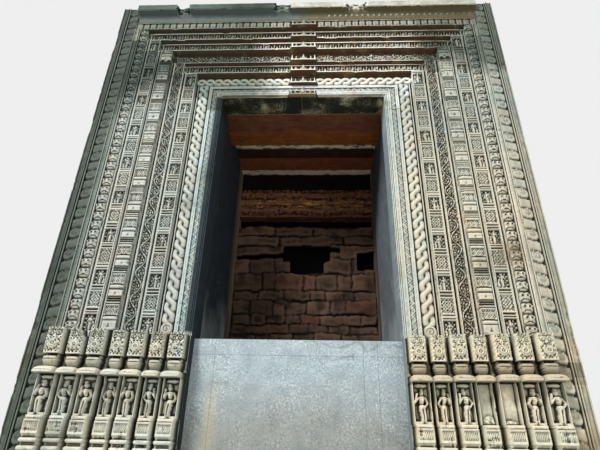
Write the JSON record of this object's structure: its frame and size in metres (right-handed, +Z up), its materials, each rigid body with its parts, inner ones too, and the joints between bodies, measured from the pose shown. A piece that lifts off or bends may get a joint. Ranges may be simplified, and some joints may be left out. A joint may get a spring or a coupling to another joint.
{
  "type": "carved stone doorway",
  "caption": "Carved stone doorway of nested post-and-lintel frames on niche pedestals, closed at the foot by a slab and at the back by rough masonry under old iron beams.",
  "frame": {"origin": "on the ground, at the middle of the opening, in the plane of the innermost frame's face", "axes": "+Z up, +Y into the wall, +X to the right seen from in front"},
  "size_m": [7.318, 3.525, 8.509],
  "materials": {
    "chlorite_left": "carved, weathered, cool grey with dark grime in the cuts",
    "chlorite_right": "carved, weathered, warm grey",
    "chlorite_lintel": "carved, weathered, with brown staining in the grooves",
    "plain_chlorite": "dressed",
    "slab_stone": "smooth, pale blue-grey, mottled",
    "reveal_stone": "smooth, dark blue-grey",
    "laterite": "rough brown blocks",
    "pale_slip": "rough pale bedding",
    "rusted_iron": "rusted, flaking"
  },
  "bodies": {
    "root": {"blocking_masonry_front": "laterite", "blocking_masonry_rear": "laterite", "blocking_over_beam": "laterite", "ceiling_beam_1": "rusted_iron", "ceiling_beam_2": "rusted_iron", "ceiling_beam_3": "rusted_iron", "ceiling_beam_4": "rusted_iron", "ceiling_beam_5": "rusted_iron", "ceiling_slip_front": "pale_slip", "ceiling_slip_rear": "pale_slip", "closing_slab": "slab_stone", "cornice": "chlorite_lintel", "left_dwarf_band": "chlorite_left", "left_inner_border": "chlorite_left", "left_inner_panel_band": "chlorite_left", "left_leaf_border": "chlorite_left", "left_outer_panel_band": "chlorite_left", "left_pedestal_1": "chlorite_left", "left_pedestal_2": "chlorite_left", "left_pedestal_3": "chlorite_left", "left_pedestal_4": "chlorite_left", "left_pedestal_5": "chlorite_left", "left_pedestal_6": "chlorite_left", "left_pedestal_7": "chlorite_left", "left_pilaster_band": "chlorite_left", "left_rear_pier": "laterite", "left_reveal": "reveal_stone", "left_serpent_rope": "chlorite_left", "left_vine_scroll_band": "chlorite_left", "lintel_dwarf_band": "chlorite_lintel", "lintel_inner_border": "chlorite_lintel", "lintel_inner_panel_band": "chlorite_lintel", "lintel_outer_panel_band": "chlorite_lintel", "lintel_pilaster_band": "chlorite_lintel", "lintel_serpent_rope": "chlorite_lintel", "lintel_vine_scroll_band": "chlorite_lintel", "rear_beam": "rusted_iron", "right_dwarf_band": "chlorite_right", "right_inner_border": "chlorite_right", "right_inner_panel_band": "chlorite_right", "right_leaf_border": "chlorite_right", "right_outer_panel_band": "chlorite_right", "right_pedestal_1": "chlorite_right", "right_pedestal_2": "chlorite_right", "right_pedestal_3": "chlorite_right", "right_pedestal_4": "chlorite_right", "right_pedestal_5": "chlorite_right", "right_pedestal_6": "chlorite_right", "right_pedestal_7": "chlorite_right", "right_pilaster_band": "chlorite_right", "right_rear_pier": "laterite", "right_reveal": "reveal_stone", "right_serpent_rope": "chlorite_right", "right_vine_scroll_band": "chlorite_right", "threshold": "plain_chlorite"}
  },
  "joints": []
}
